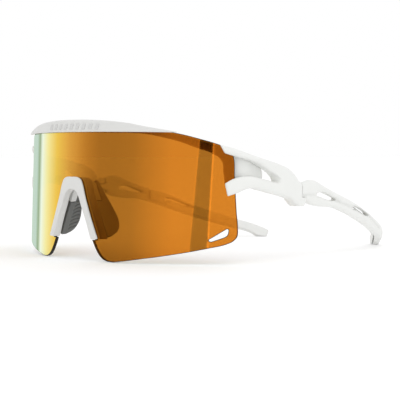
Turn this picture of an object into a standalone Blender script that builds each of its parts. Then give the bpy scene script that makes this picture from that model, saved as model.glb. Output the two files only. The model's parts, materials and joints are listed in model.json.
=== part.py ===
"""Wraparound sport sunglasses with a one-piece shield lens, a half frame and folding skeleton arms.

Sheet-like pieces are drawn flat, in millimetres: s runs sideways from the middle of the brow and on
along the temple, h is the height and w the depth outwards from the lens's front surface. Each is then
bent along one path, the line that lens, end cover and temple follow when seen from above.
The whole is leant forward a little, so that it rests on the lens's lower edge and the temple tips.
"""

import math

import bmesh
import bpy
from mathutils import Matrix, Vector

MM = 0.001
GAP = 0.3  # clearance between neighbouring pieces

# The path seen from above: lens arc, tight corner, straight temple, then a curl behind the ear.
LENS_RADIUS = 92.7
LENS_ARC_END = 79.0
CORNER_RADIUS = 12.0
TEMPLE_HEADING = math.radians(95.0)
CURL_START = 140.0
CURL_END = 226.0
CURL_TURN = math.radians(45.0)
CURL_POWER = 1.8
PATH_STEP = 0.25
LEAN = math.radians(2.14)

LENS_THICKNESS = 1.6
RAIL_THICKNESS = 2.5
RAIL_FRONT = -LENS_THICKNESS - GAP
RAIL_BACK = RAIL_FRONT - RAIL_THICKNESS
BROW_PROUD = 1.9
COVER_OUTER = 2.4
COVER_INNER = -LENS_THICKNESS
LENS_CLEAR_S = 81.6  # past the lens's side edge, where the end cover gets its full thickness

ARM_INNER = -2.0
ARM_OUTER = 2.4
GRIP_THICKNESS = 1.1

HINGE_S = 120.0
HINGE_W = -1.4
BARREL_RADIUS = 2.4
SCREW_RADIUS = 0.8
SLEEVE_INNER = 1.05
SLEEVE_OUTER = 1.5
SLEEVE_BORE = 1.72
LUG_BORE = 1.05
HEAD_RADIUS = 1.45
HEAD_HEIGHT = 0.9
SKIN_INNER = HINGE_W + BARREL_RADIUS + GAP
SPLIT_S = 120.4  # where the end cover's outer skin meets the arm's
LOWER_LUG = (26.2, 30.2)
UPPER_LUG = (33.9, 36.3)
LUG_REAR = 3.2  # how far the lower lug reaches behind the hinge axis
KNUCKLE = (LOWER_LUG[1] + GAP, UPPER_LUG[0] - GAP)

COVER_SCREW_AT = (92.0, 35.6)
COVER_SCREW_RADIUS = 0.7
COVER_SCREW_HEAD = 1.5
COVER_SCREW_TIP = 1.0

BRIDGE_FRONT = 1.4
BRIDGE_BACK = -3.6
BRIDGE_FLARE = 2.6  # how much wider the bridge opens at its back, on each side
PAD_TURN = math.radians(4.0)
PAD_THICKNESS = 2.8
PAD_GAP = 0.9  # behind the bridge at the pad's inner face, less at its outer face
TONGUE_THICKNESS = 0.9

BROW_MARKS = 9
BROW_MARK_PITCH = 4.0
BROW_MARK_PROUD = 0.35

WHITE = (0.84, 0.85, 0.83, 1.0)
AMBER = (0.80, 0.33, 0.03, 1.0)
GREY_RUBBER = (0.12, 0.12, 0.115, 1.0)
SOFT_WHITE = (0.74, 0.75, 0.73, 1.0)
STEEL = (0.55, 0.55, 0.56, 1.0)


# ---------------------------------------------------------------- scene, materials


def clear_scene():
    for obj in list(bpy.data.objects):
        bpy.data.objects.remove(obj, do_unlink=True)


def new_collection(name):
    collection = bpy.data.collections.new(name)
    bpy.context.scene.collection.children.link(collection)
    return collection


def new_material(name, colour, roughness, metallic=0.0):
    material = bpy.data.materials.new(name)
    material.use_nodes = True
    material.diffuse_color = colour
    shader = material.node_tree.nodes["Principled BSDF"]
    shader.inputs["Base Color"].default_value = colour
    shader.inputs["Roughness"].default_value = roughness
    shader.inputs["Metallic"].default_value = metallic
    return material


# ---------------------------------------------------------------- the bending path


def heading_at(s):
    if s <= LENS_ARC_END:
        return s / LENS_RADIUS
    turned = LENS_ARC_END / LENS_RADIUS + (s - LENS_ARC_END) / CORNER_RADIUS
    if turned < TEMPLE_HEADING:
        return turned
    curl = max(0.0, (s - CURL_START) / (CURL_END - CURL_START))
    return TEMPLE_HEADING + CURL_TURN * curl**CURL_POWER


def make_path():
    points = [(0.0, 0.0)]
    for i in range(int((CURL_END + 10.0) / PATH_STEP)):
        middle = heading_at((i + 0.5) * PATH_STEP)
        x, y = points[-1]
        points.append((x + PATH_STEP * math.cos(middle), y + PATH_STEP * math.sin(middle)))
    return points


PATH = make_path()


def bent(s, h, w):
    """The flat point (s, h, w) in metres on the bent shape, mirrored for a negative s."""
    side = -1.0 if s < 0 else 1.0
    place = abs(s) / PATH_STEP
    i = min(int(place), len(PATH) - 2)
    part = place - i
    x = PATH[i][0] * (1 - part) + PATH[i + 1][0] * part
    y = PATH[i][1] * (1 - part) + PATH[i + 1][1] * part
    heading = heading_at(abs(s))
    return Vector((side * (x + w * math.sin(heading)), y - w * math.cos(heading), h)) * MM


def bend_cuts(low, high):
    """Where a sheet between these s values is cut across, closer together where the path turns faster."""
    cuts = [0.0]
    while cuts[-1] < 240.0:
        s = cuts[-1]
        if s < LENS_ARC_END - 3.0:
            step = 5.5
        elif s < 90.0:
            step = 1.4
        elif s < CURL_START:
            step = 12.0
        else:
            step = 4.0
        cuts.append(s + step)
    both = cuts + [-s for s in cuts[1:]]
    return [s for s in both if low < s < high]


# ---------------------------------------------------------------- flat shapes


def smooth(*points):
    return [(s, h, "AUTO") for s, h in points]


def corner(*points):
    return [(s, h, "VECTOR") for s, h in points]


def both_sides(half):
    """Closes a half outline that starts and ends at s = 0 by adding its mirror image."""
    mirror = [(-s, h, kind) for s, h, kind in reversed(half) if s > 0.01]
    return half + mirror


def mesh_object(name, mesh):
    obj = bpy.data.objects.new(name, mesh)
    bpy.context.scene.collection.objects.link(obj)
    return obj


def evaluated_mesh(obj):
    graph = bpy.context.evaluated_depsgraph_get()
    return bpy.data.meshes.new_from_object(obj.evaluated_get(graph), depsgraph=graph)


def flat_sheet(loops, w_low, w_high, resolution=3):
    """A flat plate with these outlines. The first is its edge and any others are holes."""
    data = bpy.data.curves.new("outline", "CURVE")
    data.dimensions = "2D"
    data.fill_mode = "BOTH"
    data.extrude = (w_high - w_low) / 2
    data.resolution_u = resolution
    for loop in loops:
        spline = data.splines.new("BEZIER")
        spline.bezier_points.add(len(loop) - 1)
        spline.use_cyclic_u = True
        for point, (s, h, kind) in zip(spline.bezier_points, loop):
            point.co = (s, h, 0.0)
            point.handle_left_type = kind
            point.handle_right_type = kind
    curve = mesh_object("outline", data)
    bpy.context.view_layer.update()
    mesh = evaluated_mesh(curve)
    bpy.data.objects.remove(curve, do_unlink=True)
    middle = (w_low + w_high) / 2
    shell = bmesh.new()
    shell.from_mesh(mesh)
    bmesh.ops.remove_doubles(shell, verts=shell.verts, dist=0.001)
    for vert in shell.verts:
        s, h, depth = vert.co
        vert.co = (s, -(middle + depth), h)
    bmesh.ops.recalc_face_normals(shell, faces=shell.faces)
    shell.to_mesh(mesh)
    shell.free()
    return mesh_object("sheet", mesh)


def flat_box(s_range, w_range, h_range):
    low = Vector((s_range[0], -w_range[1], h_range[0]))
    high = Vector((s_range[1], -w_range[0], h_range[1]))
    shell = bmesh.new()
    bmesh.ops.create_cube(shell, size=1.0)
    for vert in shell.verts:
        vert.co = [(a + b) / 2 + (b - a) * c for a, b, c in zip(low, high, vert.co)]
    mesh = bpy.data.meshes.new("box")
    shell.to_mesh(mesh)
    shell.free()
    return mesh_object("box", mesh)


def flat_rod(centre, radius, length, along="h", sides=24):
    """A round rod from centre, given as (s, h, w), running along h or towards the outside along w."""
    turn = Matrix.Identity(4) if along == "h" else Matrix.Rotation(math.radians(90), 4, "X")
    place = Matrix.Translation((centre[0], -centre[2], centre[1]))
    shell = bmesh.new()
    bmesh.ops.create_cone(
        shell,
        cap_ends=True,
        segments=sides,
        radius1=radius,
        radius2=radius,
        depth=length,
        matrix=place @ turn @ Matrix.Translation((0, 0, length / 2)),
    )
    mesh = bpy.data.meshes.new("rod")
    shell.to_mesh(mesh)
    shell.free()
    return mesh_object("rod", mesh)


def combine(obj, other, operation):
    """Joins other to obj, or cuts it out of obj, and removes other."""
    modifier = obj.modifiers.new("combine", "BOOLEAN")
    modifier.operation = operation
    modifier.solver = "EXACT"
    modifier.object = other
    bpy.context.view_layer.update()
    mesh = evaluated_mesh(obj)
    obj.modifiers.clear()
    obj.data = mesh
    bpy.data.objects.remove(other, do_unlink=True)
    return obj


def join(obj, *others):
    for other in others:
        combine(obj, other, "UNION")
    return obj


def cut(obj, *others):
    for other in others:
        combine(obj, other, "DIFFERENCE")
    return obj


# ---------------------------------------------------------------- from flat shape to named part


def finish(obj, name, material, side=1, origin=None, bend=True):
    """Bends a flat shape, mirrors it for side -1 and puts it in the collection under its name."""
    shell = bmesh.new()
    shell.from_mesh(obj.data)
    if bend:
        reach = [vert.co.x for vert in shell.verts]
        for s in bend_cuts(min(reach), max(reach)):
            everything = shell.verts[:] + shell.edges[:] + shell.faces[:]
            bmesh.ops.bisect_plane(
                shell, geom=everything, dist=1e-5, plane_co=(s, 0, 0), plane_no=(1, 0, 0)
            )
        for vert in shell.verts:
            vert.co = bent(vert.co.x, vert.co.z, -vert.co.y)
    if side < 0:
        bmesh.ops.scale(shell, vec=(-1, 1, 1), verts=shell.verts)
        bmesh.ops.reverse_faces(shell, faces=shell.faces)
    bmesh.ops.remove_doubles(shell, verts=shell.verts, dist=1e-7)
    bmesh.ops.dissolve_degenerate(shell, edges=shell.edges, dist=1e-7)
    bmesh.ops.triangulate(shell, faces=[face for face in shell.faces if len(face.verts) > 4])
    bmesh.ops.translate(shell, vec=-(origin or Vector()), verts=shell.verts)
    mesh = bpy.data.meshes.new(name)
    shell.to_mesh(mesh)
    shell.free()
    bpy.data.objects.remove(obj, do_unlink=True)
    mesh.materials.append(material)
    mesh.shade_smooth()
    mesh.set_sharp_from_angle(angle=math.radians(30))
    part = bpy.data.objects.new(name, mesh)
    part.location = origin or Vector()
    part.parent = ROOT
    PARTS.objects.link(part)
    return part


def hinge_point(side):
    place = bent(HINGE_S, 32.0, HINGE_W)
    return Vector((side * place.x, place.y, place.z))


# ---------------------------------------------------------------- lens, frame and brow


def lens_top():
    return smooth(
        (0, 59.6), (20, 59.4), (34, 58.6), (44, 57.6), (53.5, 56.4), (63.5, 54.2), (72.9, 51.6)
    )


def vent_slot(side):
    loop = corner((68.7, 10.75), (69.5, 10.65), (75.2, 12.7), (76.1, 13.3), (76.6, 14.2), (76.8, 15.6))
    loop += corner((76.6, 16.1), (76.0, 16.2), (68.5, 11.5), (68.4, 11.1))
    return [(side * s, h, kind) for s, h, kind in loop]


def shield_lens():
    half = lens_top()
    half += smooth((76.3, 50.2), (77.8, 47.8), (78.8, 37.7), (80.0, 23.7), (80.8, 16.0))
    half += smooth((80.6, 13.2), (79.2, 11.4), (77.0, 10.1), (68.1, 7.7), (48.5, 3.7), (38.2, 2.0))
    half += smooth((28.7, 0.5), (24.2, 0.0), (20.2, 0.6), (17.6, 2.3), (15.5, 4.8))
    half += corner((12.9, 9.2), (14.7, 9.2))
    half += smooth((11.1, 18.0), (8.1, 24.4), (5.9, 29.4), (3.6, 31.9), (0, 32.6))
    lens = flat_sheet([both_sides(half), vent_slot(1), vent_slot(-1)], -LENS_THICKNESS, 0.0)
    return finish(lens, "shield_lens", LENS)


def cover_screw_hole(obj):
    s, h = COVER_SCREW_AT
    for side in (1, -1):
        cut(obj, flat_rod((side * s, h, RAIL_BACK - 1), COVER_SCREW_RADIUS + 0.25, 5.0, "w"))
        cut(obj, flat_rod((side * s, h, RAIL_BACK - 1), COVER_SCREW_HEAD + 0.25, 2.0, "w"))
    return obj


def front_frame():
    half = lens_top()
    half += smooth((77.4, 49.4), (87.0, 46.7), (93.6, 44.0), (96.2, 41.0), (96.4, 38.4), (95.4, 35.0))
    half += smooth((90.6, 33.9), (84.9, 34.4), (79.4, 32.2), (76.3, 31.4))
    half += smooth((74.9, 34.6), (73.9, 40.5), (73.1, 44.9), (69.1, 48.0), (62.9, 50.0), (54.3, 52.8))
    half += smooth((45.1, 54.8), (36.9, 56.0), (20.0, 56.4), (0, 56.5))
    frame = cover_screw_hole(flat_sheet([both_sides(half)], RAIL_BACK, RAIL_FRONT))
    return finish(frame, "front_frame", PLASTIC)


def brow_bar():
    half = smooth((0, 62.1), (17, 61.7), (31, 60.5), (40, 59.0), (48.6, 57.7))
    half += corner((54.0, 56.9), (53.6, 56.6), (0, 56.6))
    bar = flat_sheet([both_sides(half)], GAP, BROW_PROUD)
    roof = smooth((0, 62.1), (17, 61.7)) + corner((30, 60.6), (30, 59.3))
    roof += smooth((20, 59.8), (0, 60.0))
    join(bar, flat_sheet([both_sides(roof)], RAIL_BACK, BROW_PROUD - 0.4))
    for i in range(BROW_MARKS):
        s = (i - (BROW_MARKS - 1) / 2) * BROW_MARK_PITCH
        mark = corner((s - 1.5, 57.9), (s + 0.6, 57.9), (s + 1.5, 60.2), (s - 0.6, 60.2))
        join(bar, flat_sheet([mark], 1.0, BROW_PROUD + BROW_MARK_PROUD))
    return finish(bar, "brow_bar", PLASTIC)


# ---------------------------------------------------------------- nose bridge and pads


def bridge_inner(spread=0.0):
    edge = [(0, 31.2 + spread), (2.3, 30.8 + spread), (4.4, 28.9 + spread / 2)]
    edge += [(6.7 + spread, 24.2), (9.7 + spread, 17.9), (13.2 + spread, 9.5)]
    return edge


def arch(outer, inner, bottom):
    half = smooth(*outer[:-1]) + corner(outer[-1], (inner[-1][0], bottom))
    half += smooth(*reversed(inner[:-1]))
    return both_sides(half)


def flared(sheet):
    """Spreads the two legs of an arch outwards towards its back, as a nose widens."""
    for vert in sheet.data.vertices:
        depth = (RAIL_FRONT + vert.co.y) / (RAIL_FRONT - BRIDGE_BACK)
        reach = max(-1.0, min(1.0, vert.co.x / 4.0))
        vert.co.x += BRIDGE_FLARE * depth * reach
    return sheet


def nose_bridge():
    outer = [(0, 36.7), (3.4, 36.6), (5.6, 35.7), (6.9, 33.6), (8.8, 28.2), (11.7, 21.0), (16.8, 9.7)]
    front = flat_sheet([arch(outer, bridge_inner(), 9.5)], GAP, BRIDGE_FRONT)
    rear = flared(flat_sheet([arch(outer, bridge_inner(), 9.5)], BRIDGE_BACK, RAIL_FRONT))
    web = flat_sheet([arch(bridge_inner(1.0), bridge_inner(), 9.5)], RAIL_FRONT - 0.4, BRIDGE_FRONT)
    return finish(join(web, front, rear), "nose_bridge", PLASTIC)


def pad_frame():
    """The matrix from pad axes (back, down along the leg, to the nose) to the wearer's left pad's place."""
    top = bent(5.6, 30.5, BRIDGE_BACK - PAD_GAP)
    foot = bent(16.0, 10.4, BRIDGE_BACK - PAD_GAP)
    down = (foot - top).normalized()
    back = Vector((math.sin(PAD_TURN), math.cos(PAD_TURN), 0.0))
    back = (back - down * back.dot(down)).normalized()
    inwards = back.cross(down)
    turn = Matrix((back, down, inwards)).transposed().to_4x4()
    return Matrix.Translation(top - inwards * PAD_THICKNESS / 2 * MM) @ turn


def pad_sheet(loop, low, high):
    """A plate in pad axes, in millimetres: x to the back, y down the leg and z to the nose."""
    sheet = flat_sheet([loop], low, high, resolution=4)
    sheet.data.transform(Matrix.Rotation(math.radians(-90), 4, "X"))
    return sheet


def place_pad(obj):
    obj.data.transform(pad_frame() @ Matrix.Diagonal((MM, MM, MM, 1)))
    shell = bmesh.new()
    shell.from_mesh(obj.data)
    bmesh.ops.recalc_face_normals(shell, faces=shell.faces)
    shell.to_mesh(obj.data)
    shell.free()
    return obj


def tongue_loop(grow=0.0):
    low, high = 0.9 - grow, 2.7 + grow
    return corner((low, 4.0), (high, 4.0), (high, 15.5 + grow), (low, 15.5 + grow))


def nose_pad(name, side):
    loop = corner((0.0, 6.1), (3.3, 6.1), (3.3, -4.0)) + smooth((4.4, -3.7), (5.4, 0.0), (8.3, 11.0))
    loop += smooth((8.9, 15.0), (8.4, 18.4), (6.6, 21.0), (3.6, 22.5)) + corner((0.0, 22.8))
    half = PAD_THICKNESS / 2
    slot = TONGUE_THICKNESS / 2 + 0.2
    pad = cut(pad_sheet(loop, -half, half), pad_sheet(tongue_loop(0.2), -slot, slot))
    return finish(place_pad(pad), name, RUBBER, side, bend=False)


def nose_pad_carrier(name, side):
    tab = corner((0.0, -3.0), (3.0, -3.0), (3.0, 5.8), (0.0, 5.8))
    half = PAD_THICKNESS / 2
    thin = TONGUE_THICKNESS / 2
    carrier = join(pad_sheet(tab, -half, half), pad_sheet(tongue_loop(), -thin, thin))
    return finish(place_pad(carrier), name, PLASTIC, side, bend=False)


# ---------------------------------------------------------------- end covers and their screws


def fork_outline():
    upper = corner((72.1, 51.9)) + smooth((77.4, 50.7), (87.0, 47.7), (95.3, 46.2), (104.0, 44.6))
    upper += smooth((111.0, 42.6), (115.2, 40.2), (118.3, 37.7)) + corner((SPLIT_S - GAP / 2, 36.7))
    lower = corner((SPLIT_S - GAP / 2, LOWER_LUG[0]), (118.2, LOWER_LUG[0]), (113.2, 29.3))
    lower += smooth((108.0, 30.4), (98.4, 31.9))
    lower += smooth((90.6, 33.1), (84.9, 33.7), (79.6, 31.5)) + corner((75.9, 30.1), (74.6, 35.5))
    slot = smooth((78.6, 37.8), (83.7, 38.9), (90.0, 38.3)) + corner((102.6, 36.5))
    slot += smooth((100.2, 39.3), (95.6, 41.8), (87.1, 44.9), (80.4, 46.6)) + corner((74.2, 48.3))
    return upper + lower + slot


def barrel(h_range):
    return flat_rod((HINGE_S, h_range[0], HINGE_W), BARREL_RADIUS, h_range[1] - h_range[0], sides=32)


def lower_lug():
    """The lug under the arm's knuckle, as wide as the temple, with its inner rear corner left off."""
    low, high = LOWER_LUG
    start = HINGE_S - BARREL_RADIUS - 2.0
    end = HINGE_S + LUG_REAR
    inner = HINGE_W - BARREL_RADIUS
    slant = [(start - 2.0, high), (start - 1.2, high - 1.3), (start + 2.6, low)]
    front = flat_sheet([corner(*slant, (HINGE_S, low), (HINGE_S, high))], inner, COVER_OUTER)
    rear = corner(*slant, (end - 1.6, low), (end, low + 1.8), (end, high))
    return join(front, flat_sheet([rear], HINGE_W, COVER_OUTER), barrel(LOWER_LUG))


def upper_lug():
    start = HINGE_S - BARREL_RADIUS - 2.0
    w_range = (HINGE_W - BARREL_RADIUS, HINGE_W + BARREL_RADIUS)
    return join(flat_box((start, HINGE_S), w_range, UPPER_LUG), barrel(UPPER_LUG))


def end_cover(name, side):
    cover = flat_sheet([fork_outline()], COVER_INNER, COVER_OUTER)
    cut(cover, flat_box((60, LENS_CLEAR_S), (-5, GAP), (20, 60)))
    pocket_start = HINGE_S - BARREL_RADIUS - GAP
    cut(cover, flat_box((pocket_start, 130), (-8, SKIN_INNER), (20, 60)))
    join(cover, lower_lug(), upper_lug())
    cut(cover, flat_rod((HINGE_S, 20, HINGE_W), LUG_BORE, UPPER_LUG[1] - 20 - 0.6))
    cut(cover, flat_rod((HINGE_S, 20, HINGE_W), HEAD_RADIUS + 0.25, LOWER_LUG[0] - 20 + 1.2))
    s, h = COVER_SCREW_AT
    hole_length = COVER_SCREW_TIP + 0.3 - RAIL_BACK
    cut(cover, flat_rod((s, h, RAIL_BACK), COVER_SCREW_RADIUS + 0.25, hole_length, "w"))
    return finish(cover, name, PLASTIC, side)


def cover_screw(name, side):
    s, h = COVER_SCREW_AT
    start = RAIL_BACK + 0.15
    screw = flat_rod((s, h, start), COVER_SCREW_RADIUS, COVER_SCREW_TIP - start, "w")
    join(screw, flat_rod((s, h, start), COVER_SCREW_HEAD, 0.6, "w"))
    slot = flat_box((s - 0.25, s + 0.25), (start - 1, start + 0.3), (h - 1.0, h + 1.0))
    bar = flat_box((s - 1.0, s + 1.0), (start - 1, start + 0.3), (h - 0.25, h + 0.25))
    return finish(cut(screw, slot, bar), name, METAL, side)


# ---------------------------------------------------------------- hinges and temple arms


def hinge_screw(name, side):
    bottom = LOWER_LUG[0] + 0.2
    screw = flat_rod((HINGE_S, bottom, HINGE_W), SCREW_RADIUS, UPPER_LUG[1] - 1.0 - bottom)
    join(screw, flat_rod((HINGE_S, bottom, HINGE_W), HEAD_RADIUS, HEAD_HEIGHT))
    w_slot = (HINGE_W - 0.25, HINGE_W + 0.25)
    cut(screw, flat_box((HINGE_S - 1.0, HINGE_S + 1.0), w_slot, (20, bottom + 0.4)))
    return finish(screw, name, METAL, side)


def hinge_sleeve(name, side):
    low, high = KNUCKLE
    sleeve = flat_rod((HINGE_S, low + 0.1, HINGE_W), SLEEVE_OUTER, high - low - 0.2)
    cut(sleeve, flat_rod((HINGE_S, 20, HINGE_W), SLEEVE_INNER, 20))
    return finish(sleeve, name, METAL, side, hinge_point(side))


def arm_top():
    edge = smooth((122.4, 36.7), (125.0, 37.3), (128.8, 38.1), (132.4, 37.4))
    edge += smooth((136.0, 36.1), (149.0, 32.1), (160.9, 28.9), (179.2, 22.9), (206.9, 15.3))
    return edge + smooth((214.0, 13.6), (220.5, 11.7), (225.0, 10.0)) + corner((227.0, 9.0))


def arm_bottom():
    edge = corner((225.2, 4.9)) + smooth((221.2, 5.3), (215.6, 7.9), (209.5, 9.6), (201.0, 11.5))
    edge += smooth((188.7, 14.5), (169.5, 19.8), (157.2, 23.3), (146.2, 25.7), (134.5, 26.3))
    return edge + smooth((127.6, 27.5))


def arm_outline():
    start = SPLIT_S + GAP / 2
    behind_lug = HINGE_S + LUG_REAR + 2 * GAP
    notch = corner((behind_lug, 28.9), (behind_lug, KNUCKLE[0]), (start, KNUCKLE[0]))
    return corner((start, 36.6)) + arm_top() + arm_bottom() + notch


def arm_openings():
    front = smooth((132.2, 31.4), (134.4, 32.4), (138.0, 32.4), (143.0, 31.0)) + corner((150.4, 28.5))
    front += smooth((143.0, 28.9), (136.0, 30.3))
    rear = smooth((162.6, 25.5), (166.6, 25.7), (174.0, 23.7)) + corner((182.5, 20.7))
    rear += smooth((174.0, 22.0), (167.0, 24.0))
    return [front, rear]


def grip_opening():
    """The rear opening carried on through the grip, a little larger."""
    edge = smooth((161.8, 25.6), (166.6, 26.2), (174.0, 24.2)) + corner((183.5, 20.4))
    return edge + smooth((174.0, 21.5), (167.0, 23.4))


def cut_at_floor(part, lift):
    """Cuts the part off flat at the height lift above the floor, in the upright model's coordinates."""
    normal = Vector((0, -math.sin(LEAN), math.cos(LEAN)))
    shell = bmesh.new()
    shell.from_mesh(part.data)
    everything = shell.verts[:] + shell.edges[:] + shell.faces[:]
    found = bmesh.ops.bisect_plane(
        shell,
        geom=everything,
        dist=1e-7,
        plane_co=normal * (FLOOR + lift) - part.location,
        plane_no=normal,
        clear_inner=True,
    )
    edges = [item for item in found["geom_cut"] if isinstance(item, bmesh.types.BMEdge)]
    bmesh.ops.contextual_create(shell, geom=edges)
    bmesh.ops.recalc_face_normals(shell, faces=shell.faces)
    shell.to_mesh(part.data)
    shell.free()
    part.data.set_sharp_from_angle(angle=math.radians(30))
    return part


def temple_arm(name, side):
    arm = flat_sheet([arm_outline(), *arm_openings()], ARM_INNER, ARM_OUTER)
    body_start = HINGE_S + BARREL_RADIUS + 2 * GAP
    cut(arm, flat_box((100, body_start), (-8, SKIN_INNER), (20, 60)))
    low, high = KNUCKLE
    web = corner((HINGE_S, low), (body_start + 2, low), (body_start + 2, high), (HINGE_S, high))
    w_low = HINGE_W - BARREL_RADIUS
    join(arm, flat_sheet([web], w_low, HINGE_W + BARREL_RADIUS), barrel(KNUCKLE))
    cut(arm, flat_rod((HINGE_S, 20, HINGE_W), SLEEVE_BORE, 20))
    return cut_at_floor(finish(arm, name, PLASTIC, side, hinge_point(side)), 0.0)


def temple_grip(name, side):
    top = [(s, h + 0.5, kind) for s, h, kind in arm_top() if s > 175]
    loop = corner((152.0, 30.9)) + smooth((160.9, 29.4)) + top
    loop += [(s, h + 1.2, kind) for s, h, kind in arm_bottom() if s > 175]
    loop += smooth((169.5, 20.8), (160.0, 23.8)) + corner((152.0, 26.0))
    outer = ARM_INNER - GAP
    grip = flat_sheet([loop, grip_opening()], outer - GRIP_THICKNESS, outer)
    return cut_at_floor(finish(grip, name, GRIP, side, hinge_point(side)), 0.4 * MM)


# ---------------------------------------------------------------- assembly


def floor_level(lens):
    """How far along the leant-over vertical the lens's lowest point lies."""
    return min(v.co.z * math.cos(LEAN) - v.co.y * math.sin(LEAN) for v in lens.data.vertices)


def stand_on_floor():
    """Leans the glasses forward and puts the middle of their footprint at the origin."""
    ROOT.rotation_euler = (-LEAN, 0, 0)
    bpy.context.view_layer.update()
    meshes = [part for part in PARTS.objects if part.type == "MESH"]
    points = [part.matrix_world @ vert.co for part in meshes for vert in part.data.vertices]
    depths = [point.y for point in points]
    lowest = min(point.z for point in points)
    ROOT.location = (0, -(min(depths) + max(depths)) / 2, -lowest)
    bpy.context.view_layer.update()


clear_scene()
PARTS = new_collection("wraparound_sport_sunglasses")
ROOT = bpy.data.objects.new("resting_pose", None)
PARTS.objects.link(ROOT)
PLASTIC = new_material("white_plastic", WHITE, 0.35)
LENS = new_material("mirror_lens", AMBER, 0.05)
RUBBER = new_material("grey_rubber", GREY_RUBBER, 0.75)
GRIP = new_material("soft_white_rubber", SOFT_WHITE, 0.65)
METAL = new_material("steel", STEEL, 0.3, 1.0)

FLOOR = floor_level(shield_lens())
front_frame()
brow_bar()
nose_bridge()
for suffix, hand in (("left", 1), ("right", -1)):
    nose_pad("nose_pad_" + suffix, hand)
    nose_pad_carrier("nose_pad_carrier_" + suffix, hand)
    end_cover("end_cover_" + suffix, hand)
    cover_screw("cover_screw_" + suffix, hand)
    hinge_screw("hinge_screw_" + suffix, hand)
    hinge_sleeve("hinge_sleeve_" + suffix, hand)
    temple_arm("temple_arm_" + suffix, hand)
    temple_grip("temple_grip_" + suffix, hand)
stand_on_floor()
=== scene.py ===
"""Looks of the wraparound sport sunglasses.

Sheet-like pieces are drawn flat in millimetres, as in the CAD: s runs sideways from the middle of the
brow and on along the temple, h is the height and w the depth outwards from the lens's front surface.
They are softened while flat, and then bent along the line that lens, end cover and temple follow.
"""

import json
import math

import bmesh
import bpy
import numpy as np
from mathutils import Matrix, Vector


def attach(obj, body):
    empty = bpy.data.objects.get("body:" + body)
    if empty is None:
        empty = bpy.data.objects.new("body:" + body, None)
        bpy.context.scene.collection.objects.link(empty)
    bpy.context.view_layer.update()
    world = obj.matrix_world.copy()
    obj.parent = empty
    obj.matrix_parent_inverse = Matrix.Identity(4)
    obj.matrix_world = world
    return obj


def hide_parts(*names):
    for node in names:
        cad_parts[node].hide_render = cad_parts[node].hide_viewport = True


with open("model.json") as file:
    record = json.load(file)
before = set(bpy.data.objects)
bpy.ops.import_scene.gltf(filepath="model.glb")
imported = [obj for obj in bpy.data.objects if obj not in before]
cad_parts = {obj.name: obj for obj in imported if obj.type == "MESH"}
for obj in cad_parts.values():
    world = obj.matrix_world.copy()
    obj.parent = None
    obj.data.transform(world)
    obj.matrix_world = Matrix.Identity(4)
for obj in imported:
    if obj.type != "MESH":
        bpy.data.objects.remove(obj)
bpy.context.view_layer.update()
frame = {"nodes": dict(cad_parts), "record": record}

MM = 0.001
SIDES = (("left", 1), ("right", -1))

# The bending line seen from above: lens arc, tight corner, straight temple, then a curl behind the ear.
LENS_RADIUS = 92.7
LENS_ARC_END = 79.0
CORNER_RADIUS = 12.0
TEMPLE_HEADING = math.radians(95.0)
CURL_START = 140.0
CURL_END = 226.0
CURL_TURN = math.radians(45.0)
CURL_POWER = 1.8
LINE_STEP = 0.25
LINE_END = 240.0
LEAN = math.radians(2.14)

# Sizes shared with the CAD. The depths are values of w.
GAP = 0.3
LENS_THICKNESS = 1.6
RAIL_FRONT = -LENS_THICKNESS - GAP
RAIL_BACK = RAIL_FRONT - 2.5
BROW_FRONT = 1.9
COVER_OUTER = 2.4
COVER_INNER = -LENS_THICKNESS
COVER_START_S = 60.0
LENS_CLEAR_S = 81.6  # past the lens's side edge, where the end fork gets its full thickness
ARM_INNER = -2.0
ARM_MIDDLE = -0.4
ARM_OUTER = 2.4
GRIP_THICKNESS = 1.1
HINGE_S = 120.0
HINGE_W = -1.4
HINGE_H = 32.0
KNUCKLE_RADIUS = 2.4
SKIN_INNER = HINGE_W + KNUCKLE_RADIUS + GAP
SPLIT_S = 120.4  # where the end fork's outer skin meets the temple's
LOWER_LUG = (26.2, 30.2)
UPPER_LUG = (33.9, 36.3)
LUG_START = HINGE_S - KNUCKLE_RADIUS - 2.0
LUG_REAR = 3.2  # how far the lower lug reaches behind the hinge axis
KNUCKLE = (LOWER_LUG[1] + GAP, UPPER_LUG[0] - GAP)
SCREW_AT = (92.0, 35.6)
SCREW_RECESS_RADIUS = 1.75
ARCH_FRONT = 1.4
ARCH_BACK = -3.6
ARCH_FLARE = 2.6  # how much wider the nose arch opens at its back, on each side
ARCH_FOOT = 9.5
CUSHION_TURN = math.radians(4.0)
CUSHION_THICKNESS = 2.8
CUSHION_GAP = 0.9

CURVE_STEPS = 10
FINE_SKIN = 0.2


# ---------------------------------------------------------------- the bending line


def heading_at(s):
    arc = s / LENS_RADIUS
    turned = LENS_ARC_END / LENS_RADIUS + (s - LENS_ARC_END) / CORNER_RADIUS
    curl = np.clip((s - CURL_START) / (CURL_END - CURL_START), 0.0, None)
    temple = TEMPLE_HEADING + CURL_TURN * curl**CURL_POWER
    return np.where(s <= LENS_ARC_END, arc, np.where(turned < TEMPLE_HEADING, turned, temple))


LINE_S = np.arange(0.0, LINE_END, LINE_STEP)
LINE_HEADING = heading_at(LINE_S)
MIDDLES = heading_at(LINE_S[:-1] + LINE_STEP / 2)
LINE_X = np.concatenate([[0.0], np.cumsum(LINE_STEP * np.cos(MIDDLES))])
LINE_Y = np.concatenate([[0.0], np.cumsum(LINE_STEP * np.sin(MIDDLES))])


def drawn(points):
    """Points given as rows of s, h, w, as upright millimetres."""
    s, h, w = points.T
    side = np.where(s < 0, -1.0, 1.0)
    heading = np.interp(np.abs(s), LINE_S, LINE_HEADING)
    x = side * (np.interp(np.abs(s), LINE_S, LINE_X) + w * np.sin(heading))
    y = np.interp(np.abs(s), LINE_S, LINE_Y) - w * np.cos(heading)
    return np.stack([x, y, h], 1)


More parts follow.
